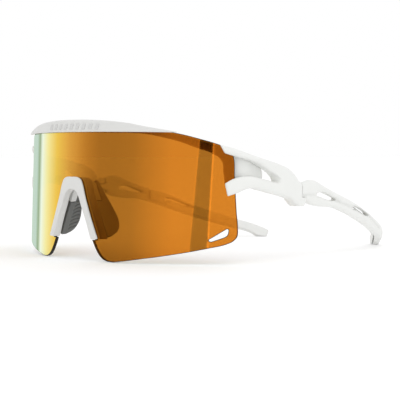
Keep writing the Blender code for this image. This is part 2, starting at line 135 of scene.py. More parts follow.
def leant(upright):
    x, y, z = upright.T
    return np.stack([x, y * math.cos(LEAN) + z * math.sin(LEAN), z * math.cos(LEAN) - y * math.sin(LEAN)], 1)


def hinge_offset():
    """From the drawing to the resting pose, in millimetres, by the left hinge's place in the record."""
    hinge = next(joint for joint in frame["record"]["behaviour"]["joints"] if joint["child"] == "left_arm")
    return np.array(hinge["pos_m"]) / MM - leant(drawn(np.array([[HINGE_S, HINGE_H, HINGE_W]])))[0]


STAND = hinge_offset()


def stood(upright):
    """Upright millimetres to the leant resting pose, in metres."""
    return (leant(upright) + STAND) * MM


def bent(points):
    return stood(drawn(points))


# ---------------------------------------------------------------- flat shapes


def smooth(*points):
    return [(s, h, "AUTO") for s, h in points]


def corner(*points):
    return [(s, h, "VECTOR") for s, h in points]


def both_sides(half):
    return half + [(-s, h, kind) for s, h, kind in reversed(half) if s > 0.01]


def new_object(name, mesh):
    obj = bpy.data.objects.new(name, mesh)
    bpy.context.scene.collection.objects.link(obj)
    return obj


def evaluated_mesh(obj):
    bpy.context.view_layer.update()
    graph = bpy.context.evaluated_depsgraph_get()
    return bpy.data.meshes.new_from_object(obj.evaluated_get(graph), depsgraph=graph)


def sheet(loops, w_low, w_high, rim=0.0):
    """A flat plate with its rims rounded by rim. The first loop is its outline and any others are holes."""
    data = bpy.data.curves.new("outline", "CURVE")
    data.dimensions = "2D"
    data.fill_mode = "BOTH"
    data.extrude = (w_high - w_low) / 2 - rim
    data.bevel_depth = rim
    data.bevel_resolution = 2
    data.offset = -rim
    data.resolution_u = CURVE_STEPS
    for loop in loops:
        spline = data.splines.new("BEZIER")
        spline.bezier_points.add(len(loop) - 1)
        spline.use_cyclic_u = True
        for point, (s, h, kind) in zip(spline.bezier_points, loop):
            point.co = (s, h, 0.0)
            point.handle_left_type = kind
            point.handle_right_type = kind
    curve = new_object("outline", data)
    mesh = evaluated_mesh(curve)
    bpy.data.objects.remove(curve, do_unlink=True)
    shell = bmesh.new()
    shell.from_mesh(mesh)
    bmesh.ops.remove_doubles(shell, verts=shell.verts, dist=0.001)
    for vert in shell.verts:
        s, h, depth = vert.co
        vert.co = (s, -((w_low + w_high) / 2 + depth), h)
    bmesh.ops.recalc_face_normals(shell, faces=shell.faces)
    shell.to_mesh(mesh)
    shell.free()
    return new_object("sheet", mesh)


def sliced(obj, low, high):
    """Keeps the part of a flat solid between two values of s, and closes its ends."""
    shell = bmesh.new()
    shell.from_mesh(obj.data)
    for s, outwards in ((low, -1.0), (high, 1.0)):
        everything = shell.verts[:] + shell.edges[:] + shell.faces[:]
        found = bmesh.ops.bisect_plane(
            shell, geom=everything, dist=1e-5, plane_co=(s, 0, 0), plane_no=(outwards, 0, 0),
            clear_outer=True,
        )
        edges = [item for item in found["geom_cut"] if isinstance(item, bmesh.types.BMEdge)]
        bmesh.ops.holes_fill(shell, edges=edges)
    bmesh.ops.recalc_face_normals(shell, faces=shell.faces)
    shell.to_mesh(obj.data)
    shell.free()
    return obj


def block(s_range, w_range, h_range):
    low = (s_range[0], -w_range[1], h_range[0])
    high = (s_range[1], -w_range[0], h_range[1])
    shell = bmesh.new()
    bmesh.ops.create_cube(shell, size=1.0)
    for vert in shell.verts:
        vert.co = [(a + b) / 2 + (b - a) * c for a, b, c in zip(low, high, vert.co)]
    mesh = bpy.data.meshes.new("block")
    shell.to_mesh(mesh)
    shell.free()
    return new_object("block", mesh)


def rod(centre, radius, length, along="h", sides=40):
    """A round rod from centre, given as (s, h, w), running along h or outwards along w."""
    turn = Matrix.Identity(4) if along == "h" else Matrix.Rotation(math.radians(90), 4, "X")
    place = Matrix.Translation((centre[0], -centre[2], centre[1]))
    shell = bmesh.new()
    bmesh.ops.create_cone(
        shell, cap_ends=True, segments=sides, radius1=radius, radius2=radius, depth=length,
        matrix=place @ turn @ Matrix.Translation((0, 0, length / 2)),
    )
    mesh = bpy.data.meshes.new("rod")
    shell.to_mesh(mesh)
    shell.free()
    return new_object("rod", mesh)


def cut(obj, *others):
    for other in others:
        modifier = obj.modifiers.new("cut", "BOOLEAN")
        modifier.operation = "DIFFERENCE"
        modifier.solver = "EXACT"
        modifier.object = other
        obj.data = evaluated_mesh(obj)
        obj.modifiers.clear()
        bpy.data.objects.remove(other, do_unlink=True)
    return obj


def edge_lines(obj):
    """The outline of a flat plate as an array of segments in s and h."""
    shell = bmesh.new()
    shell.from_mesh(obj.data)
    shell.normal_update()
    lines = []
    for edge in shell.edges:
        faces = edge.link_faces
        level = abs(edge.verts[0].co.y - edge.verts[1].co.y) < 1e-4
        if len(faces) == 2 and level and abs(faces[0].normal.dot(faces[1].normal)) < 0.5:
            lines.append([(v.co.x, v.co.z) for v in edge.verts])
    shell.free()
    return np.array(lines)


def distance_to(points, lines):
    """How far each point, a row of s and h, is from the nearest of the segments."""
    start = lines[:, 0]
    along = lines[:, 1] - start
    square = np.maximum((along**2).sum(1), 1e-12)
    offset = points[:, None] - start[None]
    part = np.clip((offset * along).sum(2) / square, 0, 1)
    return np.sqrt(((offset - part[..., None] * along) ** 2).sum(2)).min(1)


def groove_line(*points):
    return np.array([[a, b] for a, b in zip(points, points[1:])])


# ---------------------------------------------------------------- softening, bending, naming


def voxelled(solids, size):
    """One closed skin round overlapping solids, with an even grid of faces."""
    first = solids[0]
    shell = bmesh.new()
    for solid in solids:
        shell.from_mesh(solid.data)
    shell.to_mesh(first.data)
    shell.free()
    for solid in solids[1:]:
        bpy.data.objects.remove(solid, do_unlink=True)
    modifier = first.modifiers.new("skin", "REMESH")
    modifier.mode = "VOXEL"
    modifier.voxel_size = size
    mesh = evaluated_mesh(first)
    bpy.data.objects.remove(first, do_unlink=True)
    return mesh


def coordinates(mesh):
    flat = np.empty(len(mesh.vertices) * 3)
    mesh.vertices.foreach_get("co", flat)
    return flat.reshape(-1, 3)


def bend_mesh(mesh):
    """Moves a flat mesh, without skinning it, onto the glasses."""
    x, y, z = coordinates(mesh).T
    mesh.vertices.foreach_set("co", bent(np.stack([x, z, -y], 1)).ravel())
    mesh.update()


def softened(mesh, rounds):
    """Rounds the edges of an even skin by averaging each vertex with its neighbours."""
    pairs = np.empty(len(mesh.edges) * 2, dtype=np.int32)
    mesh.edges.foreach_get("vertices", pairs)
    a, b = pairs.reshape(-1, 2).T
    points = coordinates(mesh)
    count = np.bincount(a, minlength=len(points)) + np.bincount(b, minlength=len(points))
    for _ in range(rounds):
        total = np.zeros_like(points)
        for axis in range(3):
            total[:, axis] = np.bincount(a, points[b, axis], len(points))
            total[:, axis] += np.bincount(b, points[a, axis], len(points))
        points = (points + total / count[:, None]) / 2
    return points


def piece(name, solids, replaced, body, material, side=1, size=0.3, rounds=4, shape=None, place=None):
    """Skins, softens, shapes and bends flat solids into one named piece that stands for a CAD node.

    The piece is the wearer's left one, mirrored for side -1, and nothing of it goes below the floor.
    """
    mesh = voxelled(solids, size)
    x, y, z = softened(mesh, rounds).T
    points = np.stack([x, z, -y], 1)
    if shape:
        points = shape(points)
    world = place(points) if place else bent(points)
    world[:, 2] = np.maximum(world[:, 2], 0.0)
    world[:, 0] *= side
    mesh.vertices.foreach_set("co", world.ravel())
    mesh.name = name
    if side < 0:
        mesh.flip_normals()
    mesh.update()
    mesh.materials.clear()
    mesh.materials.append(material)
    mesh.shade_smooth()
    obj = new_object(name, mesh)
    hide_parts(replaced)
    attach(obj, body)
    return obj


def pillowed(points, lines, middle, reach, amount):
    """Draws both faces in towards their outline, so that a flat plate gets full, rounded sections."""
    near = np.clip(1 - distance_to(points[:, :2], lines) / reach, 0, 1)
    drop = 1 - np.sqrt(np.maximum(0.0, 1 - near**2))
    points[:, 2] = middle + (points[:, 2] - middle) * (1 - amount * drop)
    return points


def grooved(points, line, width, depth, face_w):
    """Presses a soft groove along a line into the outer face."""
    on_face = np.clip((points[:, 2] - face_w + 1.2) / 0.8, 0, 1)
    points[:, 2] -= on_face * depth * np.exp(-((distance_to(points[:, :2], line) / width) ** 2))
    return points


# ---------------------------------------------------------------- shader groups


class Graph:
    """Short ways to add and link nodes in one tree."""

    def __init__(self, tree):
        self.tree = tree

    def add(self, kind, **settings):
        node = self.tree.nodes.new(kind)
        for key, value in settings.items():
            setattr(node, key, value)
        return node

    def link(self, source, target):
        self.tree.links.new(source, target)

    def math(self, operation, a, b=0.0, clamp=False):
        node = self.add("ShaderNodeMath", operation=operation, use_clamp=clamp)
        for socket, value in zip(node.inputs, (a, b)):
            self.feed(socket, value)
        return node.outputs[0]

    def feed(self, socket, value):
        if isinstance(value, bpy.types.NodeSocket):
            self.link(value, socket)
        else:
            socket.default_value = value

    def mix(self, factor, a, b):
        node = self.add("ShaderNodeMix", data_type="RGBA")
        self.feed(node.inputs[0], factor)
        self.feed(node.inputs[6], a)
        self.feed(node.inputs[7], b)
        return node.outputs[2]

    def noise(self, vector, scale, detail=3.0, roughness=0.5):
        node = self.add("ShaderNodeTexNoise")
        self.link(vector, node.inputs["Vector"])
        self.feed(node.inputs["Scale"], scale)
        node.inputs["Detail"].default_value = detail
        node.inputs["Roughness"].default_value = roughness
        return node.outputs[0]

    def ramp(self, factor, stops):
        node = self.add("ShaderNodeValToRGB")
        ramp = node.color_ramp
        while len(ramp.elements) < len(stops):
            ramp.elements.new(0.5)
        for element, (place, colour) in zip(ramp.elements, stops):
            element.position = place
            element.color = (*colour, 1.0)
        self.link(factor, node.inputs[0])
        return node.outputs[0]

    def object_place(self):
        return self.add("ShaderNodeTexCoord").outputs["Object"]


def shader_group(name, inputs, outputs):
    tree = bpy.data.node_groups.new(name, "ShaderNodeTree")
    for label, kind, value in inputs:
        socket = tree.interface.new_socket(label, in_out="INPUT", socket_type=kind)
        socket.default_value = value
    for label, kind in outputs:
        tree.interface.new_socket(label, in_out="OUTPUT", socket_type=kind)
    graph = Graph(tree)
    return graph, graph.add("NodeGroupInput").outputs, graph.add("NodeGroupOutput").inputs


FLOAT = "NodeSocketFloat"


def moulded_grain():
    """The fine spark-eroded grain of a moulding, with slow waves from cooling."""
    graph, given, out = shader_group(
        "moulded_grain",
        [("Grain Size", FLOAT, 4000.0), ("Wave Size", FLOAT, 160.0)],
        [("Height", FLOAT), ("Tone", FLOAT)],
    )
    place = graph.object_place()
    grain = graph.noise(place, given["Grain Size"], 2.0)
    wave = graph.noise(place, given["Wave Size"], 2.0)
    low_grain = graph.math("MULTIPLY", grain, 0.55)
    low_wave = graph.math("MULTIPLY", wave, 0.6)
    graph.link(graph.math("ADD", low_grain, low_wave), out["Height"])
    graph.link(wave, out["Tone"])
    return graph.tree


def handled_surface():
    """Faint smears and rubbed patches from handling, as a mask."""
    graph, given, out = shader_group(
        "handled_surface", [("Patch Size", FLOAT, 60.0), ("Amount", FLOAT, 0.5)], [("Mask", FLOAT)]
    )
    place = graph.object_place()
    patch = graph.noise(place, given["Patch Size"], 4.0, 0.6)
    fine = graph.noise(place, graph.math("MULTIPLY", given["Patch Size"], 9.0), 3.0, 0.7)
    both = graph.math("MULTIPLY", patch, fine)
    graph.link(graph.math("MULTIPLY", graph.math("MULTIPLY", both, 3.0, True), given["Amount"]), out["Mask"])
    return graph.tree


def edge_wear_and_recess_shade():
    """A mask that is high on the worn outer edges and low in the recesses, and a second mask, high in the
    recesses, that is used for painted shade.
    """
    graph, given, out = shader_group(
        "edge_wear_and_recess_shade", [("Sharpness", FLOAT, 8.0)], [("Edge", FLOAT), ("Recess", FLOAT)]
    )
    point = graph.add("ShaderNodeNewGeometry").outputs["Pointiness"]
    rise = graph.math("MULTIPLY", graph.math("SUBTRACT", point, 0.5), given["Sharpness"])
    fall = graph.math("MULTIPLY", graph.math("SUBTRACT", 0.5, point), given["Sharpness"])
    graph.link(graph.math("MAXIMUM", rise, 0.0, True), out["Edge"])
    graph.link(graph.math("MAXIMUM", fall, 0.0, True), out["Recess"])
    return graph.tree


GRAIN = moulded_grain()
HANDLED = handled_surface()
EDGE_WEAR_AND_SHADE = edge_wear_and_recess_shade()


def use(graph, tree, **values):
    node = graph.add("ShaderNodeGroup")
    node.node_tree = tree
    for label, value in values.items():
        graph.feed(node.inputs[label.replace("_", " ")], value)
    return node.outputs


def new_material(name):
    material = bpy.data.materials.new(name)
    material.use_nodes = True
    graph = Graph(material.node_tree)
    return material, graph, material.node_tree.nodes["Principled BSDF"]


def bump(graph, height, distance):
    node = graph.add("ShaderNodeBump")
    node.inputs["Strength"].default_value = 1.0
    node.inputs["Distance"].default_value = distance
    graph.link(height, node.inputs["Height"])
    return node.outputs[0]


EDGE_WEAR = 0.5
# Painted shade: how strongly recesses are darkened, and how dark the painted shade colour is against the
# shade tone.
RECESS_PAINTED_SHADE = 0.2
PAINTED_SHADE_TONE = 0.62
SMEAR_ROUGHNESS = 0.18


def moulded_material(name, colour, shade, edge, rough, grain_size, depth, coat=0.0):
    """A moulded plastic or rubber with grain, handling marks, paler edges and painted shade that darkens its
    recesses.

    The colour wanders towards shade, and depth is how deep the grain is pressed, in metres.
    """
    material, graph, shader = new_material(name)
    grain = use(graph, GRAIN, Grain_Size=grain_size)
    handled = use(graph, HANDLED, Amount=0.8)
    edges = use(graph, EDGE_WEAR_AND_SHADE, Sharpness=6.0)
    tone = graph.mix(grain["Tone"], (*colour, 1), (*shade, 1))
    # Painted shade: recesses are darkened towards a darker copy of the shade tone.
    recess_shade_colour = [c * PAINTED_SHADE_TONE for c in shade]
    worn = graph.mix(graph.math("MULTIPLY", edges["Edge"], EDGE_WEAR), tone, (*edge, 1))
    with_recess_shade = graph.mix(graph.math("MULTIPLY", edges["Recess"], RECESS_PAINTED_SHADE), worn, (*recess_shade_colour, 1))
    graph.link(with_recess_shade, shader.inputs["Base Color"])
    smears = graph.math("MULTIPLY", handled["Mask"], SMEAR_ROUGHNESS)
    graph.link(graph.math("ADD", smears, rough), shader.inputs["Roughness"])
    graph.link(bump(graph, grain["Height"], depth), shader.inputs["Normal"])
    shader.inputs["Coat Weight"].default_value = coat
    shader.inputs["Coat Roughness"].default_value = 0.25
    return material


FINE_GRAIN = 0.00003
COARSE_GRAIN = 0.00005

WHITE_PLASTIC = moulded_material(
    "satin_white_nylon",
    colour=(0.815, 0.822, 0.80),
    shade=(0.785, 0.792, 0.77),
    edge=(0.87, 0.87, 0.86),
    rough=0.36,
    grain_size=4200.0,
    depth=FINE_GRAIN,
    coat=0.1,
)
# Painted shade: a darker copy of the satin white nylon, for the brow cover, nose arch and pad clips.
SHADED_WHITE_PLASTIC = moulded_material(
    "satin_white_painted_shade",
    colour=(0.70, 0.70, 0.685),
    shade=(0.67, 0.67, 0.655),
    edge=(0.78, 0.78, 0.77),
    rough=0.42,
    grain_size=4200.0,
    depth=FINE_GRAIN,
)
PAD_RUBBER = moulded_material(
    "dark_grey_elastomer",
    colour=(0.150, 0.153, 0.147),
    shade=(0.115, 0.118, 0.113),
    edge=(0.30, 0.30, 0.29),
    rough=0.62,
    grain_size=3000.0,
    depth=COARSE_GRAIN,
)
# Painted light: a paler grey for the cushions' side away from the nose, which is seen through the lens.
PAD_PAINTED_LIGHT = moulded_material(
    "grey_pad_painted_light",
    colour=(0.52, 0.51, 0.48),
    shade=(0.46, 0.45, 0.43),
    edge=(0.58, 0.57, 0.55),
    rough=0.5,
    grain_size=3600.0,
    depth=FINE_GRAIN,
)
GRIP_RUBBER = moulded_material(
    "pale_elastomer",
    colour=(0.81, 0.82, 0.80),
    shade=(0.78, 0.79, 0.77),
    edge=(0.85, 0.85, 0.84),
    rough=0.62,
    grain_size=3000.0,
    depth=COARSE_GRAIN,
)
MARK_PLASTIC = moulded_material(
    "brow_mark_plastic",
    colour=(0.60, 0.60, 0.59),
    shade=(0.56, 0.56, 0.55),
    edge=(0.74, 0.74, 0.73),
    rough=0.38,
    grain_size=4200.0,
    depth=FINE_GRAIN,
)


RING_STRETCH = 14.0


def steel_material():
    """Bright steel with turning rings round its axis."""
    material, graph, shader = new_material("turned_steel")
    place = graph.object_place()
    stretched = graph.add("ShaderNodeMapping")
    stretched.inputs["Scale"].default_value = (1.0, 1.0, RING_STRETCH)
    graph.link(place, stretched.inputs["Vector"])
    rings = graph.noise(stretched.outputs[0], 900.0, 3.0)
    handled = use(graph, HANDLED, Patch_Size=400.0)
    graph.link(graph.mix(rings, (0.50, 0.50, 0.51, 1), (0.68, 0.68, 0.68, 1)), shader.inputs["Base Color"])
    shader.inputs["Metallic"].default_value = 1.0
    rough = graph.math("ADD", graph.math("MULTIPLY", handled["Mask"], 0.25), 0.24)
    graph.link(rough, shader.inputs["Roughness"])
    graph.link(bump(graph, rings, 0.00002), shader.inputs["Normal"])
    return material


STEEL = steel_material()

# How much of the light the mirror coating throws back, and its colour, from facing to grazing.
COAT_SHARE = (
    (0.0, 0.32), (0.18, 0.34), (0.30, 0.42), (0.42, 0.55),
    (0.52, 0.72), (0.62, 0.86), (0.72, 0.97), (1.0, 0.99),
)
COAT_COLOURS = (
    (0.0, (0.88, 0.23, 0.012)),
    (0.10, (0.88, 0.24, 0.016)),
    (0.30, (0.86, 0.34, 0.04)),
    (0.42, (0.90, 0.50, 0.085)),
    (0.52, (0.97, 0.70, 0.11)),
    (0.62, (0.97, 0.93, 0.40)),
    (0.70, (0.88, 1.0, 0.83)),
    (0.745, (0.30, 0.43, 0.26)),
    (0.80, (0.54, 0.70, 0.60)),
    (1.0, (0.58, 0.72, 0.61)),
)
BACK_SHARE = ((0.0, 0.02), (0.5, 0.05), (0.85, 0.25), (1.0, 0.6))

# What comes through the lens, to the eye and to the floor below it.
TINT = (0.575, 0.22, 0.024)
LAMP_TINT = (0.14, 0.10, 0.07)


def see_through(graph, tint, gloss_colour, roughness, share):
    """Clear tinted plastic that throws back a share of the light as gloss."""
    clear = graph.add("ShaderNodeBsdfTransparent")
    graph.link(tint, clear.inputs[0])
    gloss = graph.add("ShaderNodeBsdfGlossy")
    graph.feed(gloss.inputs["Color"], gloss_colour)
    graph.feed(gloss.inputs["Roughness"], roughness)
    mixed = graph.add("ShaderNodeMixShader")
    graph.link(share, mixed.inputs[0])
    graph.link(clear.outputs[0], mixed.inputs[1])
    graph.link(gloss.outputs[0], mixed.inputs[2])
    graph.link(mixed.outputs[0], graph.tree.nodes["Material Output"].inputs[0])
    graph.tree.nodes.remove(graph.tree.nodes["Principled BSDF"])


def facing(graph):
    """0 where a surface faces the eye, 1 where it is seen edge on."""
    layer = graph.add("ShaderNodeLayerWeight")
    layer.inputs["Blend"].default_value = 0.5
    return layer.outputs["Facing"]


def greys(stops):
    return [(place, (value,) * 3) for place, value in stops]


def lens_mirror_material():
    """Amber lens with a mirror coating whose strength and colour follow the angle it is seen at.

    The eye sees more through it than the lamps shine through it.
    """
    material, graph, _ = new_material("amber_mirror_lens")
    angle = facing(graph)
    cloud = graph.noise(graph.object_place(), 35.0, 3.0)
    smear = use(graph, HANDLED, Patch_Size=90.0, Amount=0.6)
    thick_coat = graph.math("MULTIPLY", cloud, 0.05)
    coat = graph.mix(thick_coat, graph.ramp(angle, COAT_COLOURS), (1.0, 0.55, 0.12, 1.0))
    deep_tint = [c * 0.9 for c in TINT]
    tint = graph.mix(graph.math("MULTIPLY", cloud, 0.10), (*TINT, 1), (*deep_tint, 1))
    seen = graph.add("ShaderNodeLightPath").outputs["Is Camera Ray"]
    rough = graph.math("ADD", graph.math("MULTIPLY", smear["Mask"], 0.05), 0.03)
    through = graph.mix(seen, (*LAMP_TINT, 1), tint)
    see_through(graph, through, coat, rough, graph.ramp(angle, greys(COAT_SHARE)))
    return material


def lens_back_material():
    """The uncoated inner face: clear, with a soft gloss that grows towards grazing."""
    material, graph, _ = new_material("amber_lens_back")
    smear = use(graph, HANDLED, Patch_Size=90.0, Amount=0.6)
    tint = graph.mix(smear["Mask"], (0.99, 0.985, 0.97, 1), (0.97, 0.95, 0.92, 1))
    rough = graph.math("ADD", graph.math("MULTIPLY", smear["Mask"], 0.08), 0.04)
    see_through(graph, tint, (0.9, 0.75, 0.5, 1), rough, graph.ramp(facing(graph), greys(BACK_SHARE)))
    return material


LENS_MIRROR = lens_mirror_material()
LENS_BACK = lens_back_material()
LENS_RIM = moulded_material(
    "lens_cut_edge",
    colour=(0.016, 0.013, 0.010),
    shade=(0.012, 0.010, 0.008),
    edge=(0.04, 0.03, 0.02),
    rough=0.45,
    grain_size=2500.0,
    depth=0.00002,
)
LENS_RIM.node_tree.nodes["Principled BSDF"].inputs["Specular IOR Level"].default_value = 0.15


# ---------------------------------------------------------------- lens


def lens_top():
    return smooth(
        (0, 59.6), (20, 59.4), (34, 58.6), (44, 57.6), (53.5, 56.4), (63.5, 54.2), (72.9, 51.6)
    )


def vent_slot(side):
    loop = corner((68.7, 10.75), (69.5, 10.65), (75.2, 12.7), (76.1, 13.3), (76.6, 14.2), (76.8, 15.6))
    loop += corner((76.6, 16.1), (76.0, 16.2), (68.5, 11.5), (68.4, 11.1))
    return [(side * s, h, kind) for s, h, kind in loop]


LENS_RIM_ROUND = 0.22
LENS_STRIP = 1.6
LENS_ROW = 4.0
LENS_EDGE_S = 80.0
LENS_HEIGHT = 60.0
FACE_ALIGNED = 0.99


def lens_shield():
    """The lens as one bent sheet, cut into narrow strips while flat so that it bends smoothly."""
    half = lens_top()
    half += smooth((76.3, 50.2), (77.8, 47.8), (78.8, 37.7), (80.0, 23.7), (80.8, 16.0))
    half += smooth((80.6, 13.2), (79.2, 11.4), (77.0, 10.1), (68.1, 7.7), (48.5, 3.7), (38.2, 2.0))
    half += smooth((28.7, 0.5), (24.2, 0.0), (20.2, 0.6), (17.6, 2.3), (15.5, 4.8))
    half += corner((12.9, 9.2), (14.7, 9.2))
    half += smooth((11.1, 18.0), (8.1, 24.4), (5.9, 29.4), (3.6, 31.9), (0, 32.6))
    plate = sheet([both_sides(half), vent_slot(1), vent_slot(-1)], -LENS_THICKNESS, 0.0, LENS_RIM_ROUND)
    shell = bmesh.new()
    shell.from_mesh(plate.data)
    strips = np.arange(-LENS_EDGE_S, LENS_EDGE_S + 0.1, LENS_STRIP)
    cuts = [((s, 0, 0), (1, 0, 0)) for s in strips]
    cuts += [((0, 0, h), (0, 0, 1)) for h in np.arange(LENS_ROW, LENS_HEIGHT, LENS_ROW)]
    for place, normal in cuts:
        everything = shell.verts[:] + shell.edges[:] + shell.faces[:]
        bmesh.ops.bisect_plane(shell, geom=everything, dist=1e-4, plane_co=place, plane_no=normal)
    bmesh.ops.remove_doubles(shell, verts=shell.verts, dist=1e-3)
    bmesh.ops.dissolve_degenerate(shell, edges=shell.edges, dist=1e-3)
    shell.normal_update()
    for face in shell.faces:
        out = -face.normal.y
        face.material_index = 0 if out > FACE_ALIGNED else 1 if out < -FACE_ALIGNED else 2
    for edge in shell.edges:
        kinds = {face.material_index for face in edge.link_faces}
        edge.smooth = len(kinds) == 1
    bmesh.ops.triangulate(shell, faces=[face for face in shell.faces if len(face.verts) > 4])
    mesh = bpy.data.meshes.new("lens_shield")
    shell.to_mesh(mesh)
    shell.free()
    bpy.data.objects.remove(plate, do_unlink=True)
    bend_mesh(mesh)
    for material in (LENS_MIRROR, LENS_BACK, LENS_RIM):
        mesh.materials.append(material)
    mesh.polygons.foreach_set("use_smooth", [True] * len(mesh.polygons))
    lens = new_object("lens_shield", mesh)
    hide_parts("shield_lens")
    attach(lens, "front")
    return lens


# ---------------------------------------------------------------- rail and brow


def screw_recess(obj):
    s, h = SCREW_AT
    for _, side in SIDES:
        cut(obj, rod((side * s, h, RAIL_BACK - 1), SCREW_RECESS_RADIUS, 2.0, "w"))
    return obj


def top_rail():
    half = lens_top()
    half += smooth((77.4, 49.4), (87.0, 46.7), (93.6, 44.0), (96.2, 41.0), (96.4, 38.4), (95.4, 35.0))
    half += smooth((90.6, 33.9), (84.9, 34.4), (79.4, 32.2), (76.3, 31.4))
    half += smooth((74.9, 34.6), (73.9, 40.5), (73.1, 44.9), (69.1, 48.0), (62.9, 50.0), (54.3, 52.8))
    half += smooth((45.1, 54.8), (36.9, 56.0), (20.0, 56.4), (0, 56.5))
    rail = screw_recess(sheet([both_sides(half)], RAIL_BACK, RAIL_FRONT))
    return piece("top_rail", [rail], "front_frame", "front", WHITE_PLASTIC, rounds=3)


def brow_cover():
    """The crescent in front of the lens's top edge, with a roof over the edge to the rail."""
    half = smooth((0, 62.1), (17, 61.7), (31, 60.5), (40, 59.0), (48.6, 57.7))
    half += corner((54.0, 56.9), (53.6, 56.6), (0, 56.6))
    bar = sheet([both_sides(half)], GAP, BROW_FRONT)
    roof = smooth((0, 62.1), (17, 61.7)) + corner((30, 60.6), (30, 59.3))
    roof += smooth((20, 59.8), (0, 60.0))
    roof_sheet = sheet([both_sides(roof)], RAIL_BACK, BROW_FRONT - 0.4)
    # The brow cover is made in the darker copy of the white, which is painted shade.
    return piece(
        "brow_cover", [bar, roof_sheet], "brow_bar", "front", SHADED_WHITE_PLASTIC,
        size=0.26, rounds=3,
    )


BROW_MARKS = 9
BROW_MARK_PITCH = 4.0
BROW_MARK_DEPTH = 0.5
BROW_MARK_PROUD = 0.42
BROW_MARK_RIM = 0.14


def brow_marks():
    """Raised slanted bars along the middle of the brow, each with rounded edges, as one piece."""
    shell = bmesh.new()
    for i in range(BROW_MARKS):
        s = (i - (BROW_MARKS - 1) / 2) * BROW_MARK_PITCH
        mark = corner((s - 1.4, 57.8), (s + 0.5, 57.8), (s + 1.4, 60.2), (s - 0.5, 60.2))
        bar = sheet([mark], BROW_FRONT - BROW_MARK_DEPTH, BROW_FRONT + BROW_MARK_PROUD, BROW_MARK_RIM)
        shell.from_mesh(bar.data)
        bpy.data.objects.remove(bar, do_unlink=True)
    mesh = bpy.data.meshes.new("brow_marks")
    shell.to_mesh(mesh)
    shell.free()
    bend_mesh(mesh)
    mesh.materials.append(MARK_PLASTIC)
    mesh.shade_smooth()
    mesh.set_sharp_from_angle(angle=math.radians(40))
    marks = new_object("brow_marks", mesh)
    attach(marks, "front")


# ---------------------------------------------------------------- nose arch and cushions


def arch_inner(spread=0.0):
    """Half of the arch's inner edge from the middle down, or of a line this much outside it."""
    edge = [(0, 31.2 + spread), (2.3, 30.8 + spread), (4.4, 28.9 + spread / 2)]
    return edge + [(6.7 + spread, 24.2), (9.7 + spread, 17.9), (13.2 + spread, ARCH_FOOT)]


def arch_loop(outer, inner):
    half = smooth(*outer[:-1]) + corner(outer[-1], (inner[-1][0], ARCH_FOOT))
    return both_sides(half + smooth(*reversed(inner[:-1])))


def nose_arch():
    outer = [(0, 36.7), (3.4, 36.6), (5.6, 35.7), (6.9, 33.6), (8.8, 28.2), (11.7, 21.0), (16.8, 9.7)]
    front = sheet([arch_loop(outer, arch_inner())], GAP, ARCH_FRONT)
    rear = sheet([arch_loop(outer, arch_inner())], ARCH_BACK, RAIL_FRONT)
    web = sheet([arch_loop(arch_inner(1.0), arch_inner())], RAIL_FRONT - 0.4, ARCH_FRONT)

    def flare(points):
        depth = np.clip((-LENS_THICKNESS - points[:, 2]) / (-LENS_THICKNESS - ARCH_BACK), 0, 1)
        points[:, 0] += ARCH_FLARE * depth * np.clip(points[:, 0] / 4.0, -1, 1)
        return points

    # The nose arch is made in the darker copy of the white, which is painted shade.
    return piece(
        "nose_arch", [web, front, rear], "nose_bridge", "front", SHADED_WHITE_PLASTIC,
        size=0.22, rounds=3, shape=flare,
    )


def cushion_frame():
    """Origin and axes of the wearer's left cushion: to the back, down the leg and to the nose."""
    behind = ARCH_BACK - CUSHION_GAP
    top, foot = (Vector(row) for row in drawn(np.array([(5.6, 30.5, behind), (16.0, 10.4, behind)])))
    down = (foot - top).normalized()
    back = Vector((math.sin(CUSHION_TURN), math.cos(CUSHION_TURN), 0.0))
    back = (back - down * back.dot(down)).normalized()
    inwards = back.cross(down)
    origin = top - inwards * CUSHION_THICKNESS / 2
    return np.array(origin), np.array([back, down, inwards])


def place_cushion(points):
    """Cushion points come as rows of: to the back, down the leg, towards the nose."""
    origin, axes = cushion_frame()
    return stood(origin + points @ axes)


# The cushion's grooves, counted down the leg. Each is slanted and bowed a little across it.
RIB_COUNT = 8
RIB_FIRST = 5.9
RIB_PITCH = 1.95
RIB_WIDTH = 0.34
RIB_DEPTH = 0.7
RIB_SLANT = 0.18
RIB_BOW = 0.05
PLAIN_STRIP = 3.0  # the smooth strip beside the arch, which stands a step higher
STRIP_STEP = 0.22
CUSHION_CROWN = 0.175
# Cushion faces deeper than this, on the side away from the nose, get the painted light.
PAINTED_LIGHT_DEPTH = -1.0


def ribbed(points, lines):
    """Crowns the nose side of a cushion, presses its cross grooves and raises its plain strip."""
    inset = np.clip((distance_to(points[:, :2], lines) - 0.25) / 0.6, 0, 1)
    x, y, z = points.T
    half = CUSHION_THICKNESS / 2
    lift = np.clip((z + half) / CUSHION_THICKNESS, 0, 1)
    z -= CUSHION_CROWN * lift * np.clip((x - PLAIN_STRIP - 0.2) / 4.0, 0, 1)
    ribbed_share = inset / (1 + np.exp((PLAIN_STRIP - x) / 0.2))
    bow = RIB_BOW * (x - 6.0) ** 2 - RIB_SLANT * (x - 4.0)
    for i in range(RIB_COUNT):
        centre = RIB_FIRST + RIB_PITCH * i + bow
        z -= RIB_DEPTH * lift**2 * ribbed_share * np.exp(-(((y - centre) / RIB_WIDTH) ** 2))
    strip_share = 1 / (1 + np.exp((x - PLAIN_STRIP + 0.2) / 0.18))
    z += STRIP_STEP * lift**2 * strip_share
    return np.stack([x, y, np.clip(z, -half, half + 0.1)], 1)


